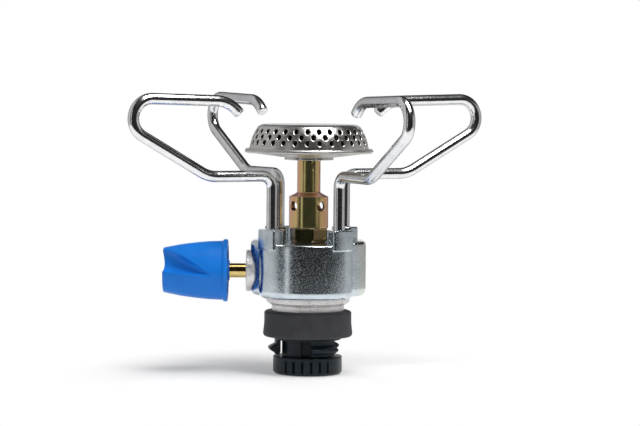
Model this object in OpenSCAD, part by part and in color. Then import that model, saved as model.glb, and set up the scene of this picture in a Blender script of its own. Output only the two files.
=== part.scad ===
// Cartridge-top camping stove burner, millimetres, Z up, origin at the centre of the foot's underside.
// The knob points along minus X.

/* [Overall] */
// Height of the pot plane above the foot's underside
overall_h = 100.35; // [95:0.05:112]
// Diameter over the four supports when they point straight out
support_circle = 141; // [130:0.5:160]

/* [Foot connector] */
// Outer radius of the ribbed foot
foot_r = 12.35; // [9:0.05:16]
// Height of the ribbed foot
foot_h = 6.35; // [4:0.05:9]
// Bevel at the bottom edge of the foot
foot_bevel = 0.7; // [0.2:0.1:1.5]
// Width of each groove between the ribs
groove_w = 0.9; // [0.4:0.1:1.4]
// Depth of each groove between the ribs
groove_deep = 1.2; // [0.3:0.1:1.4]
// Angle from groove to groove
groove_pitch = 15; // [12:0.5:18]
// Grooves in each of the three groups
groove_count = 6; // [3:1:6]
// Radius of the core post above the foot
post_r = 9.2; // [8.5:0.1:9.6]
// Radius of the socket for the cartridge valve
socket_r = 5.5; // [4.5:0.1:5.8]
// Depth of the socket for the cartridge valve
socket_deep = 9; // [7:0.1:11]
// Depth of the wide mouth of the socket
mouth_deep = 4.8; // [4:0.1:5]
// Direction of the first bayonet lug
lug_at = 299; // [270:0.1:330]
// Angle that each lug and its tab span
lug_span = 46; // [30:1:60]
// Radius to the tip of the lugs
lug_r = 14.2; // [13:0.1:15.5]
// Outer radius of the tabs and their ring
tab_r = 12; // [11.5:0.1:12.3]
// Thickness of the tabs
tab_t = 1.5; // [1:0.1:2]
// Gap between the tabs and the foot
tab_gap = 0.55; // [0.3:0.05:1]
// Radius of the screw circle
screw_at = 7.6; // [7.2:0.1:7.8]
// Radius of the screw threads
screw_r = 1; // [0.8:0.1:1.2]
// Radius of the screw heads
screw_head_r = 1.6; // [1.3:0.1:1.8]
// Radius of the opener pin
pin_r = 1.5; // [1.2:0.1:1.8]
// Height of the opener pin's tip above the foot's underside
pin_tip_z = 5.2; // [4.8:0.1:7]
// Thickness of the inlet seal's section
seal_t = 1.6; // [1.2:0.1:1.8]

/* [Neck and seal ring] */
// Height where the neck meets the bayonet ring
neck_z = 14; // [13:0.1:15]
// Outer radius of the neck
neck_r = 13; // [12.6:0.1:14]
// Wall of the cup inside the neck
neck_wall = 1.5; // [1.2:0.1:1.7]
// Depth of the cup inside the neck
cup_deep = 3; // [2.5:0.1:4]
// Outer radius of the rubber ring
ring_r = 16.05; // [15:0.05:17]
// Drop of the rubber ring's lip below the neck
ring_drop = 0.7; // [0.5:0.1:1]
// Height of the rubber ring
ring_h = 9.4; // [8:0.1:10]
// Radius of the collar under the housing
collar_r = 15; // [14:0.1:16]
// Thickness of the collar's straight edge
collar_t = 1.6; // [1:0.1:2.5]

/* [Housing] */
// Height from the foot of the neck to the housing
neck_h = 13.5; // [12.8:0.1:15]
// Height of the housing up to the recess between the bosses
house_h = 19.5; // [18.5:0.1:22]
// Half width between the straight sides
house_half = 16.6; // [16:0.1:18]
// Radius of the bowed front and back
bow_r = 22.5; // [21:0.1:26]
// Radius of the rounded corners
corner_r = 6; // [4.8:0.1:7]
// Wall outside the pockets for the stem clips
stem_wall = 0.8; // [0.4:0.05:1]
// Bevel at the lower edge
low_bevel = 1.1; // [0.5:0.1:1.2]
// Reach of the side lobes from the axis
lobe_reach = 20.6; // [19:0.1:22]
// Half width of the side lobes at their ends
lobe_half = 6; // [5.5:0.1:7]
// Length of the slanted corners of the side lobes
lobe_flare = 5; // [4:0.1:5.5]
// Rise of the lobes above the recess
lobe_rise = 1; // [0.5:0.1:2]
// Rise of the bosses above the recess
boss_rise = 5.2; // [4:0.1:7]
// Drop below the recess where the bosses stand proud of the walls
boss_drop = 2; // [1:0.1:4]
// Half width of each boss around its stem
boss_r = 4.5; // [4:0.1:5]
// Step of the bosses beyond the corners of the housing
boss_proud = 0.3; // [0.1:0.05:0.8]
// Half the spacing of the stems
stem_at = 11.9; // [11.5:0.05:12.5]
// Turn of the rounded square and its bosses from the valve axis
plan_turn = -5; // [-8:0.5:0]

/* [Valve] */
// Height of the valve axis above the housing's underside
valve_up = 9.2; // [8.7:0.1:10.2]
// Radius of the core block inside the housing
block_r = 10; // [9:0.1:11]
// Radius of the gland nut's flange
gland_r = 7.4; // [6.5:0.1:8]
// Thickness of the gland nut's flange
gland_t = 3.1; // [2.5:0.1:5]
// Depth of the spot face in the lobe
spot_deep = 1.5; // [1:0.1:2.5]
// Radius of the gland nut's barrel
barrel_r = 5; // [4.6:0.1:5.5]
// Radius of the spindle
spindle_r = 2.6; // [2.2:0.05:3]
// Length of the spindle inside the knob
grip_l = 15.2; // [12:0.1:17]
// Half width of the spindle at its flat
spindle_flat = 1.9; // [1.5:0.1:2.2]
// Radius of the seat's orifice
seat_hole_r = 0.9; // [0.6:0.1:1.2]

/* [Knob] */
// Length of bare spindle between the gland nut and the knob
knob_gap = 6.6; // [5:0.1:9]
// Length of the knob
knob_l = 23.2; // [20:0.1:26]
// Radius of the rear flange
knob_flange_r = 11.2; // [10.5:0.1:12]
// Thickness of the rear flange
knob_flange_t = 1.5; // [1:0.1:2]
// Radius behind the flange
knob_r = 10.6; // [10:0.1:11.2]
// Radius at the outer end
knob_end_r = 7.9; // [7:0.1:8.5]
// Wall of the knob
knob_wall = 1.6; // [1.2:0.1:1.8]
// Radius of the hub
hub_r = 4.2; // [3.9:0.1:4.6]
// Depth of the dish in the outer end
knob_dish = 2; // [0.5:0.1:2.5]
// Radius of each finger scallop at the outer end
scallop_r = 5; // [4:0.1:6]
// Depth of each finger scallop at the outer end
scallop_deep = 3.8; // [2.5:0.1:4]
// Length of each finger scallop
scallop_l = 18; // [14:0.1:19]
// Angle of the first scallop above the level at the outer end
scallop_at = 33; // [0:1:60]
// Angle of the first scallop above the level at its tip
scallop_tip_at = -6; // [-20:1:30]

/* [Mixing tube] */
// Width across the flats of the hexagon
hex_af = 12; // [11.5:0.1:12.1]
// Turn of the hexagon
hex_turn = 45; // [0:1:59]
// Radius of the air sleeve
sleeve_r = 7.05; // [6.6:0.05:7.6]
// Length of the air sleeve
sleeve_l = 11.4; // [10:0.1:13]
// Radius of the upper tube
tube_r = 4.18; // [3.9:0.02:4.5]
// Wall of the upper tube
tube_wall = 0.9; // [0.6:0.1:1.1]
// Drop of the air holes from the top of the sleeve
air_drop = 3.4; // [2.8:0.1:5]
// Turn of the air holes from the valve axis
air_turn = 39.6; // [0:0.1:90]
// Radius of the air holes
air_r = 1.7; // [1:0.1:2]
// Radius of the threaded nipple
nipple_r = 4; // [3.8:0.1:4.4]

/* [Burner] */
// Height from the underside of the ring below the dish to the rim
dish_h = 3.25; // [2.8:0.05:4.5]
// Radius of the ring below the dish
burner_collar_r = 8.75; // [8:0.05:10]
// Thickness of the ring below the dish
burner_collar_t = 0.9; // [0.6:0.1:1.4]
// Outer radius of the rolled rim
rim_r = 23; // [21:0.1:25]
// Radius of the roll in the rim
rim_roll = 0.8; // [0.6:0.05:1]
// Height of the cap above the rim
cap_h = 9.5; // [9:0.05:11]
// Sheet thickness of dish and cap
sheet = 0.7; // [0.5:0.05:0.9]
// Gap between the cap and the pot plane
pot_gap = 11; // [9.5:0.1:14]
// Ports in each row
port_count = 30; // [20:1:32]
// Radius of each port
port_r = 0.85; // [0.5:0.05:1]
// Turn of the rows of ports
port_turn = 4.6; // [0:0.1:12]
// Gap between the cap and the gauze behind the ports
gauze_gap = 1.1; // [0.8:0.1:2]
// How much narrower the gauze is at its top
gauze_lean = 3.2; // [2.5:0.1:5]
// Thickness of the gauze
gauze_t = 0.3; // [0.2:0.05:0.5]

/* [Pot supports] */
// Radius of the wire
wire_r = 2; // [1.8:0.05:2.2]
// Height from the horizontal run to the pot plane
support_h = 29.15; // [26:0.05:32]
// Distance from the stem where the run turns up
run_l = 25; // [20:0.1:28]
// Bend radius above the stem
elbow_r = 4.4; // [3:0.1:5]
// Bend radius where the run turns up
knee_r = 12; // [4:0.1:14]
// Bend radius of the outer turn
turn_r = 6.9; // [6:0.1:8]
// Fall of the top bar towards the middle
bar_tilt = 1.5; // [0:0.1:3]
// Distance from the stem where the top bar bends down
bar_in = 22; // [20:0.1:26]
// Bend radius of the inner end
tip_r = 11.5; // [8:0.1:14]
// Angle of the inner bend
tip_turn = 43; // [30:1:50]
// Straight length at the inner end
tip_l = 1.6; // [1:0.1:4]
// Angle of the front left support from its diagonal
angle_front_left = -12; // [-20:0.1:0]
// Angle of the front right support from its diagonal
angle_front_right = -14.8; // [-20:0.1:0]
// Angle of the back left support from its diagonal
angle_back_left = -10.6; // [-20:0.1:0]
// Angle of the back right support from its diagonal
angle_back_right = -15.4; // [-20:0.1:0]
// Height of the step that carries each stem above the housing's underside
stem_up = 5.5; // [4.5:0.1:8]
// Radius of the stem below its step
stem_neck_r = 1.5; // [1.3:0.05:1.6]
// Thickness of the stem clips
clip_t = 0.7; // [0.5:0.05:0.9]
// Outer radius of the stem clips
clip_r = 2; // [1.9:0.05:2.9]

/* [Fits] */
// Radial clearance of a turning fit
run_gap = 0.05; // [0.02:0.01:0.1]
// Gap between pieces that only pass each other
free_gap = 0.15; // [0.1:0.01:0.3]

/* [Hidden] */
$fn = 64;
big = 200;
// Connector
ring_z = neck_z - ring_drop;
cup_r = neck_r - neck_wall;
cup_top = neck_z + cup_deep;
ring_low = neck_z - 1.8;
tab_low = foot_h + tab_gap;
screw_seat = 2.6;
screw_end = cup_top + 4.5;
pin_flange_r = 3.2;
pin_flange_low = cup_top - 2;
pin_top = cup_top + 0.8;
chamber_r = 6.5;
chamber_top = cup_top + 1.8;
// Heights of the housing, sleeve and burner
house_z = neck_z + neck_h;
house_top = house_z + house_h;
lobe_top = house_top + lobe_rise;
boss_top = house_top + boss_rise;
boss_z = house_top - boss_drop;
valve_z = house_z + valve_up;
stem_step = house_z + stem_up;
sleeve_top = boss_top + sleeve_l;
air_z = sleeve_top - air_drop;
cap_top = overall_h - pot_gap;
rim_z = cap_top - cap_h;
burner_z = rim_z - dish_h;
// Plan of the housing: reach of the bosses, places of the centres of bow and corner
pocket_r = clip_r + 0.25;
bow_y = stem_at - sqrt(pow(bow_r - pocket_r - stem_wall, 2) - pow(stem_at, 2));
boss_out = stem_at * sqrt(2) + pocket_r + stem_wall + boss_proud;
corner_x = house_half - corner_r;
corner_y = bow_y + sqrt(pow(bow_r - corner_r, 2) - pow(corner_x, 2));
// Distances along the valve axis
gland_face = lobe_reach - spot_deep;
knob_back = gland_face + gland_t + knob_gap;
spindle_reach = knob_back + grip_l;
// Neck and collar
collar_low = house_z - collar_t;
ring_top = ring_z + ring_h;
// Core
block_top = house_top - 2.5;
nipple_top = boss_top - 0.7;
inlet_x = -0.6 * block_r;
seat_out = -0.4 * block_r;
seat_in = -0.14 * block_r;
gland_in = -0.8 * block_r;
gland_out = -gland_face - gland_t;
seal_x = gland_in - 4;
needle_r = spindle_r - 0.6;
seal_sec = 0.75;
seal_ring_r = spindle_r + 0.5;
// Jet
jet_r = 2.5;
jet_low = nipple_top - 3;
jet_top = nipple_top + 3;
// Burner
dish_low = burner_z + burner_collar_t;
tube_top = dish_low + 1.6;
spreader_r = burner_collar_r + 0.25;
roll_c = rim_r - rim_roll;
cap_r = rim_r - 1.7;
cap_rows = [cap_top - 2.3, cap_top - 4.3, cap_top - 6.3];
row_r = [cap_r - 1.95, cap_r - 1.0, cap_r - 0.45];
row_tilt = [30, 21, 13];
// Wire path in the plane of one support, as distance from the stem and height
run_z = overall_h - support_h;
bar_z = overall_h - wire_r;
reach = support_circle / 2 - stem_at * sqrt(2);
u_c = [reach - turn_r, bar_z - turn_r * cos(bar_tilt)];
knee_pt = [run_l, run_z];
to_turn = u_c - knee_pt;
rise = atan2(to_turn[1], to_turn[0]) - asin(turn_r / norm(to_turn));
slope_end = u_c + turn_r * [sin(rise), -cos(rise)];
knee_t = knee_r * tan(rise / 2);
slope_start = knee_pt + knee_t * [cos(rise), sin(rise)];
bar_out = u_c + turn_r * [-sin(bar_tilt), cos(bar_tilt)];
bar_l = (bar_out[0] - bar_in) / cos(bar_tilt);
bar_end = bar_out - bar_l * [cos(bar_tilt), sin(bar_tilt)];
tip_c = bar_end - tip_r * [-sin(bar_tilt), cos(bar_tilt)];
tip_ang = 90 + bar_tilt + tip_turn;
tip_start = tip_c + tip_r * [cos(tip_ang), sin(tip_ang)];
tip_end = tip_start + tip_l * [-sin(tip_ang), cos(tip_ang)];
// Stem clips
clip_low = house_z + 1.9;
clip_in_r = stem_neck_r - 0.4;
pocket_top = clip_low + clip_t + 0.3;
stem_low = house_z + 1.2;
// Colours
plated = [0.74, 0.79, 0.82];
raw = [0.66, 0.65, 0.63];
brass = [0.78, 0.62, 0.30];
steel = [0.62, 0.61, 0.60];
bright = [0.82, 0.83, 0.85];
black = [0.10, 0.11, 0.13];
rubber = [0.20, 0.20, 0.21];

// Helpers

module ring(r_out, r_in, z0, z1) {
    difference() {
        translate([0, 0, z0]) cylinder(h = z1 - z0, r = r_out);
        translate([0, 0, z0 - 1]) cylinder(h = z1 - z0 + 2, r = r_in);
    }
}

// Rod along X on the valve axis between two distances
module rod_x(x0, x1, r) {
    translate([x0, 0, valve_z]) rotate([0, 90, 0]) cylinder(h = x1 - x0, r = r);
}

// Cone along X on the valve axis between two distances
module cone_x(x0, x1, r0, r1) {
    translate([x0, 0, valve_z]) rotate([0, 90, 0]) cylinder(h = x1 - x0, r1 = r0, r2 = r1);
}

// Plan of the housing with its bowed front and back, set in all round
module house_plan(inset) {
    intersection() {
        translate([0, bow_y]) circle(r = bow_r - inset);
        translate([0, -bow_y]) circle(r = bow_r - inset);
        square([2 * (bow_r - inset) * corner_x / (bow_r - corner_r), big], center = true);
    }
    square([2 * (house_half - inset), 2 * corner_y], center = true);
    for (x = [-corner_x, corner_x]) {
        for (y = [-corner_y, corner_y]) {
            translate([x, y]) circle(r = corner_r - inset);
        }
    }
}

// Bar with slanted corners that makes both side lobes, set in all round
module lobe_plan(inset) {
    x1 = lobe_reach - inset;
    y1 = lobe_half - inset * tan(22.5);
    x0 = lobe_reach - lobe_flare - inset * tan(22.5);
    y0 = lobe_half + lobe_flare - inset;
    polygon([[x1, -y1], [x1, y1], [x0, y0], [-x0, y0], [-x1, y1], [-x1, -y1], [-x0, -y0], [x0, -y0]]);
}

module at_stems() {
    for (q = [0 : 3]) {
        rotate([0, 0, plan_turn + 45 + 90 * q]) translate([stem_at * sqrt(2), 0, 0]) children();
    }
}

// Casting

// Round around the stem, straight beside it and cut off by the outline of the housing
module boss() {
    translate([0, 0, boss_z]) linear_extrude(boss_top - boss_z) intersection() {
        union() {
            circle(r = boss_r);
            translate([0, -boss_r]) square([2 * boss_r, 2 * boss_r]);
        }
        translate([-stem_at * sqrt(2), 0]) circle(r = boss_out);
    }
}

module lobes() {
    hull() {
        translate([0, 0, house_z + 0.8]) linear_extrude(0.02) lobe_plan(low_bevel);
        translate([0, 0, house_z + 2.6]) linear_extrude(0.02) lobe_plan(0);
    }
    translate([0, 0, house_z + 2.6]) linear_extrude(lobe_top - 1.2 - house_z - 2.6) lobe_plan(0);
    hull() {
        translate([0, 0, lobe_top - 1.2]) linear_extrude(0.02) lobe_plan(0);
        translate([0, 0, lobe_top - 0.35]) linear_extrude(0.02) lobe_plan(0.35);
        translate([0, 0, lobe_top - 0.02]) linear_extrude(0.02) lobe_plan(1.2);
    }
}

module bowed_block() {
    hull() {
        translate([0, 0, house_z]) linear_extrude(0.02) house_plan(low_bevel, $fn = 64);
        translate([0, 0, house_z + 1.6]) linear_extrude(0.02) house_plan(0, $fn = 64);
    }
    translate([0, 0, house_z + 1.6]) linear_extrude(house_top - 0.6 - house_z - 1.6) house_plan(0);
    hull() {
        translate([0, 0, house_top - 0.6]) linear_extrude(0.02) house_plan(0, $fn = 64);
        translate([0, 0, house_top - 0.02]) linear_extrude(0.02) house_plan(0.5, $fn = 64);
    }
}

module housing_solid() {
    difference() {
        lobes();
        translate([0, 0, house_top + 10]) cube([2 * house_half - 1.2, big, 20], center = true);
    }
    rotate([0, 0, plan_turn]) bowed_block();
    at_stems() boss();
}

module valve_housing() {
    color(plated) difference() {
        housing_solid();
        translate([0, 0, 0]) cylinder(h = block_top + free_gap, r = block_r + free_gap);
        cylinder(h = big, r = nipple_r + 0.3);
        rod_x(-big, -block_r + 2, barrel_r + free_gap);
        rod_x(-big, -gland_face, gland_r + 0.5);
        at_stems() translate([0, 0, stem_step]) cylinder(h = big, r = wire_r + run_gap);
        at_stems() translate([0, 0, pocket_top - 1]) cylinder(h = big, r = stem_neck_r + run_gap);
        at_stems() translate([0, 0, house_z - 1]) cylinder(h = pocket_top - house_z + 1, r = pocket_r);
    }
}

module valve_core() {
    color(raw) difference() {
        union() {
            translate([0, 0, neck_z]) cylinder(h = collar_low - 1 - neck_z, r = neck_r);
            translate([0, 0, collar_low - 1]) cylinder(h = 1, r1 = neck_r, r2 = collar_r);
            translate([0, 0, collar_low]) cylinder(h = collar_t, r = collar_r);
            translate([0, 0, house_z]) cylinder(h = block_top - house_z, r = block_r);
            translate([0, 0, block_top]) cylinder(h = nipple_top - block_top, r = nipple_r);
        }
        translate([0, 0, neck_z - 1]) cylinder(h = cup_deep + 1, r = cup_r);
        translate([0, 0, cup_top - 1]) cylinder(h = chamber_top - cup_top + 1, r = chamber_r);
        translate([inlet_x, 0, cup_top]) cylinder(h = valve_z - cup_top, r = 1.4);
        rod_x(-big, gland_in, barrel_r);
        rod_x(gland_in - 1, seat_out, 3.8);
        rod_x(seat_out - 1, seat_in, 3);
        rod_x(seat_in - 1, 1, 1);
        translate([0, 0, valve_z]) cylinder(h = big, r = 1.2);
        translate([0, 0, jet_low - 0.6]) cylinder(h = big, r = jet_r);
        for (a = [0, 120, 240]) {
            rotate([0, 0, lug_at + 30 + a]) translate([screw_at, 0, 0]) cylinder(h = screw_end, r = screw_r);
        }
    }
}

module gland_nut() {
    color(raw) difference() {
        union() {
            rod_x(-gland_face - gland_t + 0.4, -gland_face, gland_r);
            cone_x(gland_out, gland_out + 0.4, gland_r - 0.4, gland_r);
            rod_x(-gland_face, gland_in, barrel_r);
        }
        rod_x(-big, 0, spindle_r + run_gap);
        rod_x(seal_x - 2.4, 0, seal_ring_r + seal_sec + run_gap);
        for (z = [-1, 1]) {
            translate([0, 0, z * (gland_r - 2.2)]) rod_x(-big, gland_out + 1.6, 0.9);
        }
    }
}

module valve_seat() {
    color(brass) difference() {
        rod_x(seat_out, seat_in, 3);
        rod_x(-big, big, seat_hole_r);
    }
}

module gas_jet() {
    color(brass) difference() {
        union() {
            translate([0, 0, jet_low]) cylinder(h = nipple_top - jet_low, r = jet_r);
            translate([0, 0, nipple_top]) cylinder(h = 1.8, r = 5.4 / sqrt(3), $fn = 6);
            translate([0, 0, nipple_top + 1.8]) cylinder(h = 1.2, r1 = 2.2, r2 = 1);
        }
        translate([0, 0, jet_low - 1]) cylinder(h = jet_top - jet_low - 0.2, r = 0.8);
        translate([0, 0, jet_low]) cylinder(h = big, r = 0.25);
    }
}

module jet_filter() {
    color(steel) translate([0, 0, jet_low - 0.6]) cylinder(h = 0.6, r = jet_r - 0.02);
}

module mixing_tube() {
    hex_r = hex_af / sqrt(3);
    cone_top = sleeve_top + 1.4;
    color([0.72, 0.56, 0.25]) difference() {
        union() {
            translate([0, 0, house_top]) rotate([0, 0, hex_turn])
                cylinder(h = boss_top + 0.1 - house_top, r = hex_r, $fn = 6);
            translate([0, 0, boss_top]) cylinder(h = sleeve_top - boss_top, r = sleeve_r);
            translate([0, 0, sleeve_top]) cylinder(h = 1.4, r1 = sleeve_r, r2 = tube_r);
            translate([0, 0, cone_top]) cylinder(h = tube_top - cone_top, r = tube_r);
        }
        translate([0, 0, house_top - 1]) cylinder(h = big, r = tube_r - tube_wall);
        translate([0, 0, house_top - 1]) cylinder(h = boss_top + 0.2 - house_top + 1, r = nipple_r);
        translate([0, 0, boss_top + 0.2])
            cylinder(h = sleeve_top - 1.4 - boss_top - 0.2, r = sleeve_r - 1.1);
        for (a = [0, 90]) {
            rotate([0, 0, air_turn + a]) translate([0, 0, air_z]) rotate([0, 90, 0])
                cylinder(h = 4 * sleeve_r, r = air_r, center = true);
        }
    }
}

// Burner

module burner_collar() {
    color(steel) ring(burner_collar_r, tube_r, burner_z, dish_low);
}

module burner_dish() {
    color(steel) rotate_extrude($fn = 96) {
        polygon([[tube_r, dish_low], [burner_collar_r + 0.4, dish_low], [roll_c, rim_z - 0.55],
            [roll_c, rim_z - 0.55 + sheet], [burner_collar_r + 0.4, dish_low + sheet],
            [tube_r, dish_low + sheet]]);
        translate([roll_c, rim_z]) circle(r = rim_roll, $fn = 32);
    }
}

module cap_profile(t) {
    h = cap_top - t;
    r = cap_r - t;
    polygon([[0, rim_z + 0.07], [r + 0.02, rim_z + 0.07], [r, h - 8.35], [r - 0.3, h - 6.85],
        [r - 0.7, h - 5.35], [r - 1.35, h - 3.65], [r - 2.2, h - 2.05], [r - 2.75, h - 1.15],
        [r - 3.3, h - 0.55], [r - 4.1, h - 0.15], [r - 4.9, h], [0, h]]);
}

module burner_cap() {
    color(steel) difference() {
        rotate_extrude($fn = 96) difference() {
            cap_profile(0);
            cap_profile(sheet);
            translate([-1, rim_z - 1]) square([cap_r - sheet + 1, 1.2]);
        }
        for (k = [0, 1, 2]) {
            for (i = [0 : port_count - 1]) {
                rotate([0, 0, port_turn + (i + (k == 1 ? 0.5 : 0)) * 360 / port_count])
                    translate([row_r[k], 0, cap_rows[k]]) rotate([0, 90 - row_tilt[k], 0])
                        cylinder(h = 4, r = port_r, center = true, $fn = 16);
            }
        }
    }
}

module burner_gauze() {
    r = cap_r - sheet - gauze_gap;
    t = gauze_t;
    z = cap_top - sheet - gauze_gap;
    color(steel) rotate_extrude($fn = 96)
        polygon([[r - t, rim_z + 0.1], [r, rim_z + 0.1], [r - gauze_lean, z], [0, z], [0, z - t],
            [r - gauze_lean - t, z - t]]);
}

module gas_spreader() {
    color(steel) {
        translate([0, 0, tube_top + 2.6]) cylinder(h = sheet, r = spreader_r);
        for (a = [0, 120, 240]) {
            rotate([0, 0, a]) translate([spreader_r - 2.5, 0, dish_low + sheet])
                cylinder(h = tube_top + 2.9 - dish_low - sheet, r = 0.8);
        }
    }
}

// Rubber ring and connector

module sealing_ring() {
    color(rubber) rotate_extrude($fn = 96)
        polygon([[neck_r, ring_z + 0.7], [ring_r - 2, ring_z], [ring_r - 0.5, ring_z + 0.1],
            [ring_r, ring_z + 0.75], [ring_r - 0.05, ring_z + 1.6], [ring_r - 0.4, ring_z + 5],
            [ring_r - 0.35, ring_top - 1], [ring_r - 0.85, ring_top - 0.35], [ring_r - 2, ring_top],
            [neck_r, ring_top]]);
}

module lug() {
    o = tab_r - 0.06;
    rotate([0, 0, -lug_span / 2]) rotate_extrude(angle = lug_span)
        polygon([[tab_r - tab_t, tab_low], [o, tab_low], [o, tab_low + 0.4], [lug_r, tab_low + 1.9],
            [lug_r, tab_low + 2.7], [o, tab_low + 3.9], [o, ring_low + 0.4],
            [tab_r - tab_t, ring_low + 0.4]]);
}

module bayonet_ring() {
    color(black) difference() {
        union() {
            translate([0, 0, ring_low]) cylinder(h = neck_z - ring_low, r = tab_r);
            translate([0, 0, neck_z]) cylinder(h = cup_deep, r = cup_r);
            for (a = [0, 120, 240]) {
                rotate([0, 0, lug_at + a]) lug();
            }
        }
        translate([0, 0, ring_low - 1]) cylinder(h = big, r = post_r);
    }
}

module connector_foot() {
    color(black) difference() {
        union() {
            translate([0, 0, foot_bevel]) cylinder(h = foot_h - foot_bevel, r = foot_r);
            cylinder(h = foot_bevel, r1 = foot_r - foot_bevel, r2 = foot_r);
            translate([0, 0, foot_h]) cylinder(h = cup_top - foot_h, r = post_r);
        }
        translate([0, 0, -1]) cylinder(h = mouth_deep + 1, r = socket_r);
        translate([0, 0, -1]) cylinder(h = socket_deep + 1, r = socket_r - 0.4);
        cylinder(h = big, r = pin_r + 0.02);
        translate([0, 0, pin_flange_low]) cylinder(h = big, r = pin_flange_r);
        for (a = [0, 120, 240]) {
            rotate([0, 0, lug_at - 30 + a]) translate([post_r, 0, (foot_h + ring_low) / 2])
                cube([4.4, 4, ring_low - foot_h], center = true);
            rotate([0, 0, lug_at + 30 + a]) translate([screw_at, 0, -1]) cylinder(h = big, r = screw_r);
            rotate([0, 0, lug_at + 30 + a]) translate([screw_at, 0, -1])
                cylinder(h = screw_seat + 1, r = screw_head_r + 0.1);
            for (i = [0 : groove_count - 1]) {
                rotate([0, 0, lug_at - 30 + a + (i - (groove_count - 1) / 2) * groove_pitch])
                    translate([foot_r, 0, foot_h / 2 - 0.2])
                        cube([2 * groove_deep, groove_w, foot_h - 2.2], center = true);
            }
        }
    }
}

module connector_screws() {
    color(steel) for (a = [0, 120, 240]) {
        rotate([0, 0, lug_at + 30 + a]) translate([screw_at, 0, 0]) difference() {
            union() {
                translate([0, 0, screw_seat - 1.2]) cylinder(h = 1.2, r = screw_head_r);
                translate([0, 0, screw_seat]) cylinder(h = screw_end - screw_seat, r = screw_r);
            }
            translate([0, 0, screw_seat - 1.2]) cube([0.4, 4, 1.2], center = true);
        }
    }
}

module opener_pin() {
    color(brass) difference() {
        union() {
            translate([0, 0, pin_tip_z]) cylinder(h = pin_top - pin_tip_z, r = pin_r);
            translate([0, 0, pin_flange_low]) cylinder(h = pin_top - pin_flange_low, r = pin_flange_r);
        }
        cylinder(h = big, r = 0.7);
    }
}

module inlet_seal() {
    color(rubber) translate([0, 0, socket_deep - seal_t / 2]) rotate_extrude()
        translate([pin_r + seal_t / 2, 0]) circle(r = seal_t / 2, $fn = 32);
}

module inlet_gauze() {
    color(steel) translate([0, 0, pin_top]) cylinder(h = 0.4, r = pin_flange_r);
}

// Control

module knob_outer() {
    x = -knob_back;
    e = -knob_back - knob_l;
    d = knob_r - knob_end_r;
    translate([0, 0, valve_z]) rotate([0, -90, 0]) rotate_extrude($fn = 96)
        polygon([[0, -x], [knob_flange_r - 0.4, -x], [knob_flange_r, -x + 0.5],
            [knob_flange_r, -x + knob_flange_t - 0.4], [knob_flange_r - 0.3, -x + knob_flange_t],
            [knob_r, -x + knob_flange_t + 0.2], [knob_r - 0.06 * d, -x + 0.28 * knob_l],
            [knob_r - 0.17 * d, -x + 0.42 * knob_l], [knob_r - 0.32 * d, -x + 0.57 * knob_l],
            [knob_r - 0.52 * d, -x + 0.73 * knob_l],
            [knob_r - 0.79 * d, -x + 0.88 * knob_l], [knob_end_r, -e - 0.7],
            [knob_end_r - 0.35, -e - 0.2], [knob_end_r - 1, -e], [0, -e - knob_dish]]);
}

module knob_hollow() {
    x = knob_back;
    translate([0, 0, valve_z]) rotate([0, -90, 0]) rotate_extrude() difference() {
        polygon([[0, x - 1], [knob_r - knob_wall, x - 1], [knob_r - knob_wall, x + 0.2 * knob_l],
            [hub_r + 1.4, x + 0.34 * knob_l], [hub_r + 0.4, x + 0.36 * knob_l], [0, x + 0.36 * knob_l]]);
        translate([0, x - 2]) square([hub_r, big]);
    }
}

module scallop() {
    far = knob_end_r + scallop_r - scallop_deep;
    near = knob_r + 0.1;
    a = [-knob_back - knob_l, -far * cos(scallop_at), far * sin(scallop_at)];
    b = [scallop_l - knob_back - knob_l, -near * cos(scallop_tip_at), near * sin(scallop_tip_at)];
    v = b - a;
    translate([0, 0, valve_z]) translate(a - 0.3 * v)
        rotate([0, acos(v[2] / norm(v)), atan2(v[1], v[0])])
            cylinder(h = 1.3 * norm(v), r1 = 1.3 * scallop_r - 0.06, r2 = 0.2);
}

module control_knob() {
    color([0.08, 0.33, 0.75]) difference() {
        union() {
            difference() {
                knob_outer();
                knob_hollow();
            }
            rod_x(-knob_back - 2, -knob_back + 0.6, hub_r - 0.5);
        }
        for (a = [0, 180]) {
            translate([0, 0, valve_z]) rotate([a, 0, 0]) translate([0, 0, -valve_z]) scallop();
        }
        difference() {
            rod_x(-spindle_reach - 0.2, 0, spindle_r + 0.02);
            translate([-spindle_reach - 1, -5, valve_z + spindle_flat + 0.02])
                cube([spindle_reach - knob_back - 2, 10, 10]);
        }
    }
}

module valve_spindle() {
    color(brass) difference() {
        union() {
            rod_x(-spindle_reach, gland_in - 1.8, spindle_r);
            cone_x(gland_in - 1.8, gland_in - 1.2, spindle_r, needle_r);
            rod_x(gland_in - 1.2, seat_out - 2.1, needle_r);
            cone_x(seat_out - 2.1, seat_out + 0.9, needle_r, seat_hole_r - 0.55);
        }
        translate([-spindle_reach - 1, -5, valve_z + spindle_flat])
            cube([spindle_reach - knob_back - 1.5, 10, 10]);
        difference() {
            rod_x(seal_x - 0.9, seal_x + 0.9, 5);
            rod_x(-big, 0, seal_ring_r - seal_sec - run_gap);
        }
    }
}

module spindle_seal() {
    color(rubber) translate([seal_x, 0, valve_z]) rotate([0, 90, 0]) rotate_extrude()
        translate([seal_ring_r, 0]) circle(r = seal_sec, $fn = 32);
}

// Pot supports

module wire_line(p, q) {
    d = q - p;
    translate([p[0], 0, p[1]]) rotate([0, atan2(d[0], d[1]), 0]) cylinder(h = norm(d), r = wire_r, $fn = 32);
}

module wire_bend(c, r, a0, a1) {
    translate([c[0], 0, c[1]]) rotate([90, 0, 0]) rotate([0, 0, a0]) rotate_extrude(angle = a1 - a0)
        translate([r, 0]) circle(r = wire_r, $fn = 32);
}

// Hairline band that joins a straight and a bend
module wire_band(p, a) {
    translate([p[0], 0, p[1]]) rotate([0, a, 0])
        cylinder(h = 0.3, r = wire_r + 0.02, center = true, $fn = 32);
}

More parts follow.
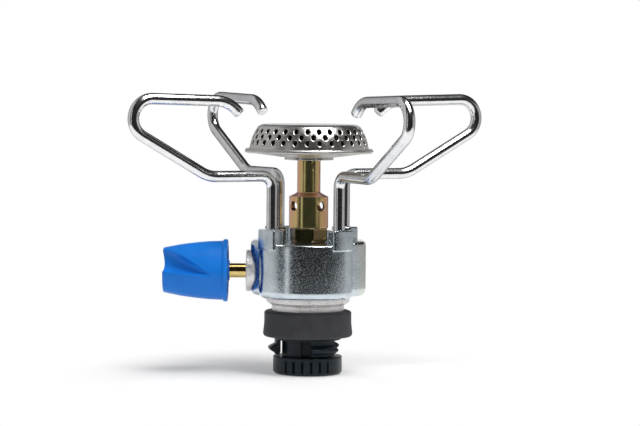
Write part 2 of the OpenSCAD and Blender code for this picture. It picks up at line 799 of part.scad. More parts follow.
module wire() {
    wire_band([0, run_z - elbow_r], 0);
    wire_band([elbow_r, run_z], 90);
    wire_band([knee_pt[0] - knee_t, run_z], 90);
    wire_band(slope_start, 90 - rise);
    wire_band(slope_end, 90 - rise);
    wire_band(bar_out, 90 - bar_tilt);
    wire_band(bar_end, 90 - bar_tilt);
    wire_band(tip_start, 90 - bar_tilt - tip_turn);
    wire_line([0, stem_step], [0, run_z - elbow_r]);
    wire_bend([elbow_r, run_z - elbow_r], elbow_r, 90, 180);
    wire_line([elbow_r, run_z], [knee_pt[0] - knee_t, run_z]);
    wire_bend([knee_pt[0] - knee_t, run_z + knee_r], knee_r, -90, rise - 90);
    wire_line(slope_start, slope_end);
    wire_bend(u_c, turn_r, rise - 90, 90 + bar_tilt);
    wire_line(bar_out, bar_end);
    wire_bend(tip_c, tip_r, 90 + bar_tilt, tip_ang);
    wire_line(tip_start, tip_end);
    difference() {
        translate([0, 0, stem_low]) cylinder(h = stem_step + 0.5 - stem_low, r = stem_neck_r);
        ring(stem_neck_r + 1, clip_in_r, clip_low, clip_low + clip_t);
    }
}

module pot_support(quarter, turn) {
    color(bright) rotate([0, 0, plan_turn + 45 + 90 * quarter]) translate([stem_at * sqrt(2), 0, 0])
        rotate([0, 0, turn]) wire();
}

module stem_clip(quarter, turn) {
    color(steel) rotate([0, 0, plan_turn + 45 + 90 * quarter]) translate([stem_at * sqrt(2), 0, 0])
        rotate([0, 0, turn]) difference() {
            ring(clip_r, clip_in_r, clip_low, clip_low + clip_t);
            translate([0, -0.9, clip_low - 1]) cube([5, 1.8, 5]);
        }
}

module pot_support_front_left() { pot_support(2, angle_front_left); }
module pot_support_front_right() { pot_support(3, angle_front_right); }
module pot_support_back_left() { pot_support(1, angle_back_left); }
module pot_support_back_right() { pot_support(0, angle_back_right); }
module stem_clip_front_left() { stem_clip(2, angle_front_left); }
module stem_clip_front_right() { stem_clip(3, angle_front_right); }
module stem_clip_back_left() { stem_clip(1, angle_back_left); }
module stem_clip_back_right() { stem_clip(0, angle_back_right); }

valve_housing();
valve_core();
gland_nut();
valve_seat();
gas_jet();
jet_filter();
mixing_tube();
burner_collar();
burner_dish();
burner_cap();
burner_gauze();
gas_spreader();
sealing_ring();
bayonet_ring();
connector_foot();
connector_screws();
opener_pin();
inlet_seal();
inlet_gauze();
control_knob();
valve_spindle();
spindle_seal();
pot_support_front_left();
pot_support_front_right();
pot_support_back_left();
pot_support_back_right();
stem_clip_front_left();
stem_clip_front_right();
stem_clip_back_left();
stem_clip_back_right();
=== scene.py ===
import math

import bpy
import numpy as np
from mathutils import Matrix, Vector, geometry


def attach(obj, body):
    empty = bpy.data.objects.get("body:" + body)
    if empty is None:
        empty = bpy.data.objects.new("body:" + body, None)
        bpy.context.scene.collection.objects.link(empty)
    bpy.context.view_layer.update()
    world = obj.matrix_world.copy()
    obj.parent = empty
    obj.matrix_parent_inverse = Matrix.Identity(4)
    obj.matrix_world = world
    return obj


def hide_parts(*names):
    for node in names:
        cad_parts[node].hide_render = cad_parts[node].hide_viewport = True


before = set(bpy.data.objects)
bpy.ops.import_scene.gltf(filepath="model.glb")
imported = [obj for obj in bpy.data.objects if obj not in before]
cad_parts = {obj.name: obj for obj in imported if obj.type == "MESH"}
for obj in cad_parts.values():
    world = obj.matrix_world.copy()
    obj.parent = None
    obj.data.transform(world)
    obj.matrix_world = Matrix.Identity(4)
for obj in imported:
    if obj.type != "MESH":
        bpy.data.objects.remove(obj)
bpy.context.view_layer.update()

# Lengths below are millimetres, as in the part's source; meshes are made in metres.
MM = 0.001
VALVE_Z = 36.7
PLAN_TURN = math.radians(-5)
STEM_R = 11.9 * math.sqrt(2)
LUG_AT = math.radians(299)
# Plan of the housing
HALF = 16.6
CORNER_R = 6.0
BOW_R = 22.5
POCKET_R = 2.25
STEM_WALL = 0.8
BOW_Y = 11.9 - math.sqrt((BOW_R - POCKET_R - STEM_WALL) ** 2 - 11.9 ** 2)
CORNER_X = HALF - CORNER_R
CORNER_Y = BOW_Y + math.sqrt((BOW_R - CORNER_R) ** 2 - CORNER_X ** 2)
BOSS_OUT = STEM_R + POCKET_R + STEM_WALL + 0.3
# Heights of the housing, and its lobes and spot face
HOUSE_LOW = 27.5
HOUSE_TOP = 47.0
BOSS_LOW = 45.0
BOSS_TOP = 52.2
LOBE_OUT = 20.6
LOBE_SLANT = 26.6
LOBE_TOP = 48.0
GLAND_IN = 19.1
GLAND_OUT = 22.2


# Materials

class Shader:
    """A node material that starts from one Principled shader."""

    def __init__(self, name):
        self.mat = bpy.data.materials.new(name)
        self.mat.use_nodes = True
        self.tree = self.mat.node_tree
        self.bsdf = self.tree.nodes["Principled BSDF"]

    def add(self, kind, **props):
        node = self.tree.nodes.new(kind)
        for key, value in props.items():
            setattr(node, key, value)
        return node

    def join(self, a, b):
        self.tree.links.new(a, b)

    def coords(self, scale=(1, 1, 1)):
        tex = self.add("ShaderNodeTexCoord")
        move = self.add("ShaderNodeMapping")
        move.inputs["Scale"].default_value = scale
        self.join(tex.outputs["Object"], move.inputs["Vector"])
        return move.outputs["Vector"]

    def noise(self, vec, scale, detail=4.0, rough=0.55):
        node = self.add("ShaderNodeTexNoise")
        node.inputs["Scale"].default_value = scale
        node.inputs["Detail"].default_value = detail
        node.inputs["Roughness"].default_value = rough
        self.join(vec, node.inputs["Vector"])
        return node.outputs["Fac"]

    def cells(self, vec, scale):
        node = self.add("ShaderNodeTexVoronoi")
        node.inputs["Scale"].default_value = scale
        self.join(vec, node.inputs["Vector"])
        return node.outputs["Distance"]

    def span(self, fac, low, high, from_low=0.3, from_high=0.7):
        node = self.add("ShaderNodeMapRange")
        node.inputs["From Min"].default_value = from_low
        node.inputs["From Max"].default_value = from_high
        node.inputs["To Min"].default_value = low
        node.inputs["To Max"].default_value = high
        self.join(fac, node.inputs["Value"])
        return node.outputs["Result"]

    def ramp(self, fac, stops):
        node = self.add("ShaderNodeValToRGB")
        ends = node.color_ramp.elements
        while len(ends) < len(stops):
            ends.new(0.5)
        for end, (at, rgb) in zip(ends, stops):
            end.position = at
            end.color = (*rgb, 1)
        self.join(fac, node.inputs["Fac"])
        return node.outputs["Color"]

    def math(self, op, a, b=None):
        node = self.add("ShaderNodeMath", operation=op)
        for socket, value in zip(node.inputs, (a, b)):
            if value is None:
                continue
            if isinstance(value, (int, float)):
                socket.default_value = value
            else:
                self.join(value, socket)
        return node.outputs[0]

    def blend(self, fac, a, b, kind="MIX"):
        node = self.add("ShaderNodeMix", data_type="RGBA", blend_type=kind)
        for socket, value in ((node.inputs[0], fac), (node.inputs[6], a), (node.inputs[7], b)):
            if isinstance(value, (int, float)):
                socket.default_value = value
            elif isinstance(value, tuple):
                socket.default_value = (*value, 1)
            else:
                self.join(value, socket)
        return node.outputs[2]

    def bump(self, height, strength, depth_mm):
        node = self.add("ShaderNodeBump")
        node.inputs["Strength"].default_value = strength
        node.inputs["Distance"].default_value = depth_mm * MM
        self.join(height, node.inputs["Height"])
        self.join(node.outputs["Normal"], self.bsdf.inputs["Normal"])

    def finish(self, color, rough, metallic=0.0, specular=0.5):
        self.join(color, self.bsdf.inputs["Base Color"])
        self.join(rough, self.bsdf.inputs["Roughness"])
        self.bsdf.inputs["Metallic"].default_value = metallic
        self.bsdf.inputs["Specular IOR Level"].default_value = specular
        return self.mat


def grained(name, low, high, rough, metallic, scale, grain, depth, strength=0.5, specular=0.5):
    """Broad colour drift, fine roughness change and a fine surface grain."""
    sh = Shader(name)
    vec = sh.coords()
    drift = sh.noise(vec, scale, 5)
    speck = sh.noise(vec, grain, 3, 0.6)
    mixed = sh.math("ADD", sh.math("MULTIPLY", drift, 0.6), sh.math("MULTIPLY", speck, 0.4))
    color = sh.ramp(mixed, [(0.36, low), (0.64, high)])
    sh.bump(speck, strength, depth)
    return sh.finish(color, sh.span(mixed, rough[0], rough[1], 0.35, 0.65), metallic, specular)


def wire_material():
    """Drawn wire with bright plating and shallow pits."""
    sh = Shader("bright_wire")
    vec = sh.coords()
    drift = sh.noise(vec, 320, 4)
    pits = sh.noise(vec, 2600, 3, 0.6)
    color = sh.ramp(drift, [(0.35, (0.80, 0.81, 0.83)), (0.65, (0.92, 0.92, 0.93))])
    height = sh.math("ADD", sh.math("MULTIPLY", drift, 0.7), sh.math("MULTIPLY", pits, 0.3))
    sh.bump(height, 0.12, 0.03)
    sh.bsdf.inputs["Specular Tint"].default_value = (0.3, 0.3, 0.32, 1)
    return sh.finish(color, sh.span(pits, 0.12, 0.20), 1.0)


def plated_material():
    """Clear-plated casting: bluish bright skin over cast grain with painted shade in its pits, yellower on
    the lobe away from the knob.
    """
    sh = Shader("plated_casting")
    vec = sh.coords()
    drift = sh.noise(vec, 180, 4)
    grain = sh.noise(vec, 3000, 3, 0.6)
    pits = sh.cells(vec, 1300)
    color = sh.ramp(drift, [(0.35, (0.55, 0.62, 0.67)), (0.65, (0.71, 0.78, 0.82))])
    # Painted shade: the pit hollows are darker in colour.
    dark = sh.ramp(pits, [(0.0, (0.55, 0.57, 0.60)), (0.22, (1, 1, 1))])
    color = sh.blend(0.7, color, dark, "MULTIPLY")
    place = sh.add("ShaderNodeSeparateXYZ")
    sh.join(vec, place.inputs["Vector"])
    far_lobe = sh.span(place.outputs["X"], 0.0, 0.6, 0.0165, 0.0195)
    color = sh.blend(far_lobe, color, (0.70, 0.70, 0.57))
    height = sh.math("ADD", sh.math("MULTIPLY", grain, 0.6), sh.math("MULTIPLY", pits, 0.4))
    sh.bump(height, 0.5, 0.045)
    return sh.finish(color, sh.span(grain, 0.12, 0.40, 0.42, 0.74), 1.0)


def raw_material():
    """Bare casting: pale skin with shallow hollows a millimetre or two wide and a fine grain."""
    sh = Shader("raw_casting")
    vec = sh.coords()
    drift = sh.noise(vec, 300, 5)
    hollows = sh.noise(vec, 750, 3, 0.5)
    grain = sh.noise(vec, 2600, 3, 0.6)
    mixed = sh.math("ADD", sh.math("MULTIPLY", drift, 0.6), sh.math("MULTIPLY", grain, 0.4))
    color = sh.ramp(mixed, [(0.36, (0.70, 0.68, 0.67)), (0.64, (0.99, 0.97, 0.96))])
    sh.bump(sh.math("ADD", hollows, sh.math("MULTIPLY", grain, 0.3)), 0.8, 0.36)
    return sh.finish(color, sh.span(mixed, 0.24, 0.46, 0.35, 0.65), 0.45)


def passivated_material():
    """Yellow-passivated steel, whose film runs from olive through gold to orange and pink; the tones are
    laid out by the way each face points, as painted sheen, and the hexagon below is painted darker.
    """
    sh = Shader("passivated_steel")
    vec = sh.coords()
    tex = sh.add("ShaderNodeTexCoord")
    part = sh.add("ShaderNodeSeparateXYZ")
    sh.join(tex.outputs["Normal"], part.inputs["Vector"])
    # Painted sheen: the film's own tones are olive on faces that point front and back and pinker on faces
    # that point to the sides.
    side = sh.math("ABSOLUTE", part.outputs["X"])
    cloud = sh.noise(sh.coords((1, 1, 0.35)), 260, 4)
    speck = sh.noise(vec, 1900, 3)
    film_and_side_sheen = sh.math("ADD", side, sh.math("MULTIPLY", sh.math("SUBTRACT", cloud, 0.5), 0.8))
    color = sh.ramp(film_and_side_sheen, [
        (0.0, (0.44, 0.44, 0.20)),
        (0.35, (0.58, 0.50, 0.20)),
        (0.62, (0.78, 0.58, 0.26)),
        (0.82, (0.84, 0.50, 0.25)),
        (1.0, (0.82, 0.48, 0.36)),
    ])
    # Painted sheen: faces that point up or down are blended pink.
    top = sh.math("MULTIPLY", sh.math("ABSOLUTE", part.outputs["Z"]), 0.85)
    color = sh.blend(top, color, (0.62, 0.28, 0.30))
    # Painted dark reflection: the hexagon, low between the bosses, is darkened.
    place = sh.add("ShaderNodeSeparateXYZ")
    sh.join(vec, place.inputs["Vector"])
    hexagon = sh.span(place.outputs["Z"], 1.0, 0.0, 0.0515, 0.0525)
    color = sh.blend(hexagon, color, (0.26, 0.27, 0.26), "MULTIPLY")
    sh.bump(speck, 0.06, 0.01)
    return sh.finish(color, sh.span(speck, 0.13, 0.20), 0.9)


def spun_material(name, low, high, rough, axis):
    """Turned or spun metal with fine rings around one axis."""
    sh = Shader(name)
    vec = sh.coords()
    stretch = {"x": (60, 1, 1), "z": (1, 1, 30)}[axis]
    lines = sh.noise(sh.coords(stretch), 120, 3, 0.6)
    drift = sh.noise(vec, 220, 4)
    mixed = sh.math("ADD", sh.math("MULTIPLY", drift, 0.6), sh.math("MULTIPLY", lines, 0.4))
    color = sh.ramp(mixed, [(0.36, low), (0.64, high)])
    sh.bump(lines, 0.15, 0.015)
    return sh.finish(color, sh.span(mixed, rough[0], rough[1], 0.35, 0.65), 1.0)


MATS = {
    # Near-black finish for the gauze and the cap's inner faces: painted shade inside the burner, so the
    # ports read dark.
    "dark_gauze": grained(
        "dark_gauze", (0.012, 0.010, 0.008), (0.030, 0.026, 0.020), (0.6, 0.8),
        0.0, 300, 1800, 0.03, 0.4, 0.15),
    "bright_wire": wire_material(),
    "plated_casting": plated_material(),
    "passivated_steel": passivated_material(),
    "raw_casting": raw_material(),
    "brass": spun_material("brass", (0.56, 0.41, 0.14), (0.76, 0.59, 0.25), (0.09, 0.16), "x"),
    "burner_steel": spun_material(
        "burner_steel", (0.56, 0.545, 0.525), (0.72, 0.705, 0.68), (0.24, 0.33), "z"),
    "pan_steel": spun_material("pan_steel", (0.52, 0.51, 0.485), (0.62, 0.61, 0.585), (0.38, 0.45), "z"),
    "plain_steel": grained(
        "plain_steel", (0.48, 0.47, 0.46), (0.62, 0.61, 0.60), (0.25, 0.4),
        1.0, 260, 2000, 0.03),
    "rubber": grained(
        "rubber", (0.032, 0.033, 0.038), (0.049, 0.050, 0.056), (0.55, 0.75),
        0.0, 240, 3200, 0.03, 0.4, 0.35),
    "black_plastic": grained(
        "black_plastic", (0.006, 0.011, 0.016), (0.011, 0.018, 0.025), (0.28, 0.38),
        0.0, 300, 2800, 0.02, 0.2, 0.22),
    "blue_plastic": grained(
        "blue_plastic", (0.004, 0.183, 0.70), (0.007, 0.215, 0.79), (0.34, 0.44),
        0.0, 160, 3000, 0.012, 0.25, 0.28),
}


# Mesh tools

def piece(name, verts, faces, slot, body, nodes, normals=None, sharp=None):
    mesh = bpy.data.meshes.new(name)
    mesh.from_pydata((np.asarray(verts, float) * MM).tolist(), [], [list(map(int, f)) for f in faces])
    mesh.validate()
    mesh.update()
    mesh.polygons.foreach_set("use_smooth", np.ones(len(mesh.polygons), bool))
    if sharp:
        mesh.set_sharp_from_angle(angle=math.radians(sharp))
    if normals is not None:
        mesh.normals_split_custom_set_from_vertices(np.asarray(normals, float).tolist())
    obj = bpy.data.objects.new(name, mesh)
    bpy.context.scene.collection.objects.link(obj)
    mesh.materials.append(MATS[slot])
    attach(obj, body)
    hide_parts(*nodes)
    return obj


def rounded(points, step=9):
    """Polyline with each corner replaced by an arc of its own radius; points are (a, b, radius)."""
    out = []
    last = len(points) - 1
    for i, (x, y, r) in enumerate(points):
        p = np.array([x, y], float)
        if r <= 0 or i in (0, last):
            out.append(p)
            continue
        a = np.array(points[i - 1][:2], float) - p
        b = np.array(points[i + 1][:2], float) - p
        la, lb = np.linalg.norm(a), np.linalg.norm(b)
        a, b = a / la, b / lb
        half = math.acos(float(np.clip(a @ b, -1, 1))) / 2
        if half > math.radians(89):
            out.append(p)
            continue
        t = min(r / math.tan(half), 0.48 * la, 0.48 * lb)
        r = t * math.tan(half)
        mid = (a + b) / np.linalg.norm(a + b)
        c = p + mid * (r / math.sin(half))
        s, e = p + a * t - c, p + b * t - c
        a0 = math.atan2(s[1], s[0])
        turn = (math.atan2(e[1], e[0]) - a0 + math.pi) % (2 * math.pi) - math.pi
        n = max(2, int(abs(math.degrees(turn)) / step) + 1)
        for k in range(n + 1):
            ang = a0 + turn * k / n
            out.append(c + r * np.array([math.cos(ang), math.sin(ang)]))
    return [tuple(map(float, q)) for q in out]


def lathe(profile, seg=128, about="z"):
    """Turns (radius, height) points about Z, or about the valve axis with height along minus X."""
    verts, rings, faces = [], [], []
    for r, h in profile:
        count = 1 if r < 1e-6 else seg
        ring = []
        for k in range(count):
            a = 2 * math.pi * k / seg
            if about == "z":
                verts.append((r * math.cos(a), r * math.sin(a), h))
            else:
                verts.append((-h, r * math.cos(a), VALVE_Z - r * math.sin(a)))
            ring.append(len(verts) - 1)
        rings.append(ring)
    for lo, hi in zip(rings, rings[1:]):
        for k in range(seg):
            j = (k + 1) % seg
            if len(lo) == 1 and len(hi) == 1:
                continue
            if len(lo) == 1:
                faces.append((lo[0], hi[j], hi[k]))
            elif len(hi) == 1:
                faces.append((lo[k], lo[j], hi[0]))
            else:
                faces.append((lo[k], lo[j], hi[j], hi[k]))
    return verts, faces


def smin(a, b, k):
    h = np.clip(0.5 + 0.5 * (b - a) / k, 0, 1)
    return b * (1 - h) + a * h - k * h * (1 - h)


def smax(a, b, k):
    return -smin(-a, -b, k)


def polygon_field(px, py, pts):
    """Signed distance to a closed polygon."""
    best = np.full(px.shape, 1e9)
    inside = np.zeros(px.shape, bool)
    for (ax, ay), (bx, by) in zip(pts, pts[1:] + pts[:1]):
        ex, ey = bx - ax, by - ay
        t = np.clip(((px - ax) * ex + (py - ay) * ey) / (ex * ex + ey * ey + 1e-12), 0, 1)
        best = np.minimum(best, (px - ax - t * ex) ** 2 + (py - ay - t * ey) ** 2)
        if ay != by:
            cross = ((ay > py) != (by > py)) & (px < ex * (py - ay) / (by - ay) + ax)
            inside ^= cross
    d = np.sqrt(best)
    return np.where(inside, -d, d)


def field_mesh(field, low, high, h):
    """Meshes where the field is zero: one vertex per cell that the surface crosses, put on the surface."""
    low = np.array(low, float) - 1.5 * h
    high = np.array(high, float) + 1.5 * h
    n = np.ceil((high - low) / h).astype(int) + 1
    axes = [low[i] + h * np.arange(n[i]) for i in range(3)]
    d = field(*np.meshgrid(*axes, indexing="ij"))
    neg = d < 0
    cells = tuple(n - 1)
    total = np.zeros(cells + (3,))
    count = np.zeros(cells)

    def corner(arr, off):
        return arr[tuple(slice(o, o + c) for o, c in zip(off, cells))]

    for a in range(3):
        b, c = (a + 1) % 3, (a + 2) % 3
        for ob in (0, 1):
            for oc in (0, 1):
                off = [0, 0, 0]
                off[b], off[c] = ob, oc
                end = list(off)
                end[a] = 1
                d0, d1 = corner(d, off), corner(d, end)
                cross = (d0 < 0) != (d1 < 0)
                t = np.where(cross, d0 / np.where(cross, d0 - d1, 1), 0)
                for k in range(3):
                    total[..., k] += np.where(cross, off[k], 0) + (t if k == a else 0)
                count += cross
    live = count > 0
    verts = low + h * (np.argwhere(live) + total[live] / count[live][:, None])
    index = np.full(cells, -1)
    index[live] = np.arange(len(verts))
    quads = []
    for a in range(3):
        b, c = (a + 1) % 3, (a + 2) % 3
        sl0, sl1 = [slice(1, -1)] * 3, [slice(1, -1)] * 3
        sl0[a], sl1[a] = slice(0, -1), slice(1, None)
        s0, s1 = neg[tuple(sl0)], neg[tuple(sl1)]
        cross = s0 != s1
        at = np.argwhere(cross)
        at[:, b] += 1
        at[:, c] += 1
        quad = []
        for db, dc in ((-1, -1), (0, -1), (0, 0), (-1, 0)):
            cell = at.copy()
            cell[:, b] += db
            cell[:, c] += dc
            quad.append(index[cell[:, 0], cell[:, 1], cell[:, 2]])
        quad = np.stack(quad, 1)
        flip = ~s0[cross]
        quad[flip] = quad[flip][:, ::-1]
        quads.append(quad)
    faces = np.concatenate(quads)

    def slope(p):
        e = 0.02
        g = np.empty_like(p)
        for k in range(3):
            q0, q1 = p.copy(), p.copy()
            q0[:, k] -= e
            q1[:, k] += e
            g[:, k] = (field(*q1.T) - field(*q0.T)) / (2 * e)
        return g

    for _ in range(3):
        g = slope(verts)
        step = field(*verts.T) / np.maximum((g * g).sum(1), 0.05)
        verts = verts - np.clip(step, -0.5 * h, 0.5 * h)[:, None] * g
    g = slope(verts)
    normals = g / np.maximum(np.linalg.norm(g, axis=1), 1e-6)[:, None]
    return verts, faces, normals


# Casting

STEMS = {
    "back_right": math.radians(45),
    "back_left": math.radians(135),
    "front_left": math.radians(225),
    "front_right": math.radians(315),
}


def stem_place(arm):
    a = STEMS[arm] + PLAN_TURN
    return STEM_R * math.cos(a), STEM_R * math.sin(a)


def house_plan(u, v):
    """Straight sides, bowed front and back, and a round corner that runs smoothly into both."""
    u, v = np.abs(u), np.abs(v)
    bow = np.hypot(u, v - BOW_Y) - BOW_R
    corner = np.hypot(u - CORNER_X, v - CORNER_Y) - CORNER_R
    at_bow = u * (CORNER_Y - BOW_Y) < (v - BOW_Y) * CORNER_X
    return np.where(at_bow, bow, np.where(v > CORNER_Y, corner, u - HALF))


def housing_field(x, y, z):
    """Casting with its side lobes, stem bosses, stem holes, clip pockets and the spot face for the gland."""
    c, s = math.cos(PLAN_TURN), math.sin(PLAN_TURN)
    u, v = x * c + y * s, -x * s + y * c
    body = smax(smax(house_plan(u, v), HOUSE_LOW - z, 2.6), z - HOUSE_TOP, 0.9)
    ax, ay = np.abs(x), np.abs(y)
    lobe = smax(ax - LOBE_OUT, (ax + ay - LOBE_SLANT) * math.sqrt(0.5), 1.6)
    lobe = smax(lobe, ay - 11.0, 0.5)
    lobe = smax(smax(lobe, 28.2 - z, 3.0), z - LOBE_TOP, 2.0)
    lobe = smax(lobe, -np.maximum(ax - 16.0, HOUSE_TOP - z), 0.5)
    body = smin(body, lobe, 0.12)
    for arm, angle in STEMS.items():
        sx, sy = stem_place(arm)
        a = angle + PLAN_TURN
        out = (x - sx) * math.cos(a) + (y - sy) * math.sin(a)
        side = -(x - sx) * math.sin(a) + (y - sy) * math.cos(a)
        r = np.hypot(out, side)
        boss = smax(np.hypot(np.minimum(out, 0), side) - 4.5, np.hypot(x, y) - BOSS_OUT, 0.6)
        boss = smax(smax(boss, BOSS_LOW - z, 0.12), z - BOSS_TOP, 0.6)
        body = smin(body, boss, 0.12)
        body = smax(body, -np.maximum(r - 2.1, 50.0 - z), 0.3)
        body = smax(body, -np.maximum(r - POCKET_R, z - 30.4), 0.3)
    spot = np.maximum(np.hypot(y, z - VALVE_Z) - 7.9, x + GLAND_IN)
    return smax(body, -spot, 0.35)


verts, faces, normals = field_mesh(housing_field, (-20.7, -19.4, 27.4), (20.7, 19.4, 52.3), 0.34)
piece("housing_casting", verts, faces, "plated_casting", "stove", ["valve_housing"], normals)

# Neck with its cup below and the collar under the housing.
profile = rounded([(0, 18.8, 0), (6.5, 18.8, 0), (6.5, 17.0, 0), (11.5, 17.0, 0.2), (11.5, 14.0, 0.15),
                   (13.0, 14.0, 0.2), (13.0, 24.7, 0.6), (14.9, 25.75, 0.35), (15.0, HOUSE_LOW, 0.3),
                   (10.0, HOUSE_LOW, 0), (10.0, 44.5, 0), (4.0, 44.5, 0), (4.0, 51.4, 0.3), (0, 51.4, 0)])
piece("neck_and_core", *lathe(profile), "raw_casting", "stove", ["valve_core"], sharp=35)


# Valve and knob

def gland_field(x, y, z):
    u = -x
    r = np.hypot(y, z - VALVE_Z)
    disc = smax(smax(r - 7.4, u - GLAND_OUT, 0.4), GLAND_IN - u, 0.2)
    barrel = np.maximum(np.maximum(r - 5.0, u - 19.6), 14.0 - u)
    body = np.minimum(disc, barrel)
    body = smax(body, 2.72 - r, 0.3)
    for sign in (-1, 1):
        pin = np.hypot(y, z - VALVE_Z - sign * 5.2) - 0.9
        body = smax(body, -np.maximum(pin, 20.6 - u), 0.2)
    return body


low, high = (-22.3, -7.5, VALVE_Z - 7.5), (-13.9, 7.5, VALVE_Z + 7.5)
verts, faces, normals = field_mesh(gland_field, low, high, 0.24)
piece("gland_disc", verts, faces, "raw_casting", "stove", ["gland_nut"], normals)

profile = rounded([(0, 9.0, 0), (2.0, 9.2, 0.1), (2.6, 9.8, 0.1), (2.6, 44.0, 0.3), (0, 44.0, 0)])
piece("spindle_rod", *lathe(profile, 64, "x"), "brass", "control", ["valve_spindle"], sharp=35)

KNOB = rounded([(-1.0, 28.8, 0), (11.2, 28.8, 0.45), (11.2, 30.3, 0.45), (10.62, 30.5, 0.25),
                (10.44, 35.44, 3), (10.14, 38.75, 6), (9.74, 42.31, 6), (9.2, 46.1, 6), (8.47, 49.66, 6),
                (8.0, 52.0, 0.8), (7.0, 52.0, 0.3), (0, 50.5, 0), (-1.0, 50.5, 0)], 12)
HOLLOW = [(4.2, 28.0), (9.0, 28.0), (9.0, 33.5), (5.6, 36.9), (4.6, 37.3), (4.2, 37.3)]


def knob_field(x, y, z):
    u, w = -x, z - VALVE_Z
    r = np.hypot(y, w)
    body = polygon_field(r, u, KNOB)
    body = smax(body, -polygon_field(r, u, HOLLOW), 0.3)
    body = smin(body, np.maximum(np.maximum(r - 3.7, u - 31.0), 28.2 - u), 0.2)
    for sign in (1, -1):
        a0, a1 = math.radians(33), math.radians(-6)
        head = np.array([-52.5, -sign * 9.1 * math.cos(a0), sign * 9.1 * math.sin(a0)])
        tip = np.array([-34.5, -sign * 10.7 * math.cos(a1), sign * 10.7 * math.sin(a1)])
        way = tip - head
        length = np.linalg.norm(way)
        way = way / length
        px, py, pz = x - head[0], y - head[1], w - head[2]
        along = px * way[0] + py * way[1] + pz * way[2]
        far = np.sqrt(np.maximum(px * px + py * py + pz * pz - along * along, 0))
        body = smax(body, (5.0 - 4.8 * along / length - far) * 0.965, 0.4)
    return smax(body, -np.maximum(r - 2.62, u - 44.2), 0.1)


low, high = (-52.6, -11.3, VALVE_Z - 11.3), (-28.1, 11.3, VALVE_Z + 11.3)
verts, faces, normals = field_mesh(knob_field, low, high, 0.3)
piece("turning_knob", verts, faces, "blue_plastic", "control", ["control_knob"], normals)


# Mixing tube

TUBE = rounded([(3.28, 52.2, 0), (7.05, 52.2, 0.25), (7.05, 63.6, 0.3), (4.18, 65.0, 0.5),
                (4.18, 79.1, 0.15), (3.28, 79.1, 0)])


def tube_field(x, y, z):
    r = np.hypot(x, y)
    body = polygon_field(r, z, TUBE)
    flat = np.full(x.shape, -1e9)
    for k in range(6):
        a = math.radians(45 + 30 + 60 * k)
        flat = smax(flat, x * math.cos(a) + y * math.sin(a) - 6.0, 0.25)
    hexagon = smax(smax(flat, 47.05 - z, 0.2), z - 52.4, 0.2)
    hexagon = smax(hexagon, (r - 6.75 + (47.9 - z) * 0.55) * 0.87, 0.15)
    body = smin(body, np.maximum(hexagon, 3.28 - r), 0.25)
    chamber = np.maximum(np.maximum(r - 5.95, 52.4 - z), z - 62.2)
    body = np.maximum(body, -chamber)
    for turn in (39.6, 129.6):
        a = math.radians(turn)
        across = np.hypot(-x * math.sin(a) + y * math.cos(a), z - 60.2)
        body = smax(body, 1.7 - across, 0.12)
    return body


verts, faces, normals = field_mesh(tube_field, (-7.2, -7.2, 46.9), (7.2, 7.2, 79.2), 0.25)
piece("mixing_pipe", verts, faces, "passivated_steel", "stove", ["mixing_tube"], normals)


# Burner

profile = rounded([(4.2, 76.6, 0), (8.75, 76.6, 0.2), (8.75, 77.5, 0.15), (4.2, 77.5, 0)])
piece("burner_ring", *lathe(profile), "burner_steel", "stove", ["burner_collar"], sharp=35)

roll = [(22.2 + 0.8 * math.cos(math.radians(a)), 79.85 + 0.8 * math.sin(math.radians(a)), 0)
        for a in range(-75, 196, 9)]
profile = rounded([(4.2, 77.5, 0), (9.15, 77.5, 1.2), (21.6, 79.15, 0.6)] + roll
                  + [(21.35, 79.75, 0), (9.15, 78.2, 1.0), (4.2, 78.2, 0)])
pan = piece("burner_pan", *lathe(profile), "burner_steel", "stove", ["burner_dish"], sharp=40)
pan.data.materials[0] = MATS["pan_steel"]

CAP = rounded([(21.32, 79.92, 0), (21.3, 81.0, 0), (21.0, 82.5, 4), (20.6, 84.0, 4), (19.95, 85.7, 4),
               (19.1, 87.3, 4), (18.3, 88.55, 1.6), (16.9, 89.3, 1.6), (15.6, 89.35, 0)], 4)
PORTS = 30
PORT_TURN = math.radians(4.6)
PITCH = 2 * math.pi / PORTS
PORT_W = 0.78
PORT_H = 1.08
CAP_SHEET = 0.65
CROWN_Z = 89.35
# Each row of ports: radius and height of its middle, tilt of its axis, share of a pitch it is turned by
PORT_ROWS = ((19.35, 87.05, 30, 0), (20.3, 85.05, 21, 0.5), (20.85, 83.05, 13, 0))
# Edge of a port: share of its size, and how deep the sheet is drawn in there
PORT_EDGE = {1.0: 0.18, 1.1: 0.07, 1.2: 0.02, 1.28: 0.0}


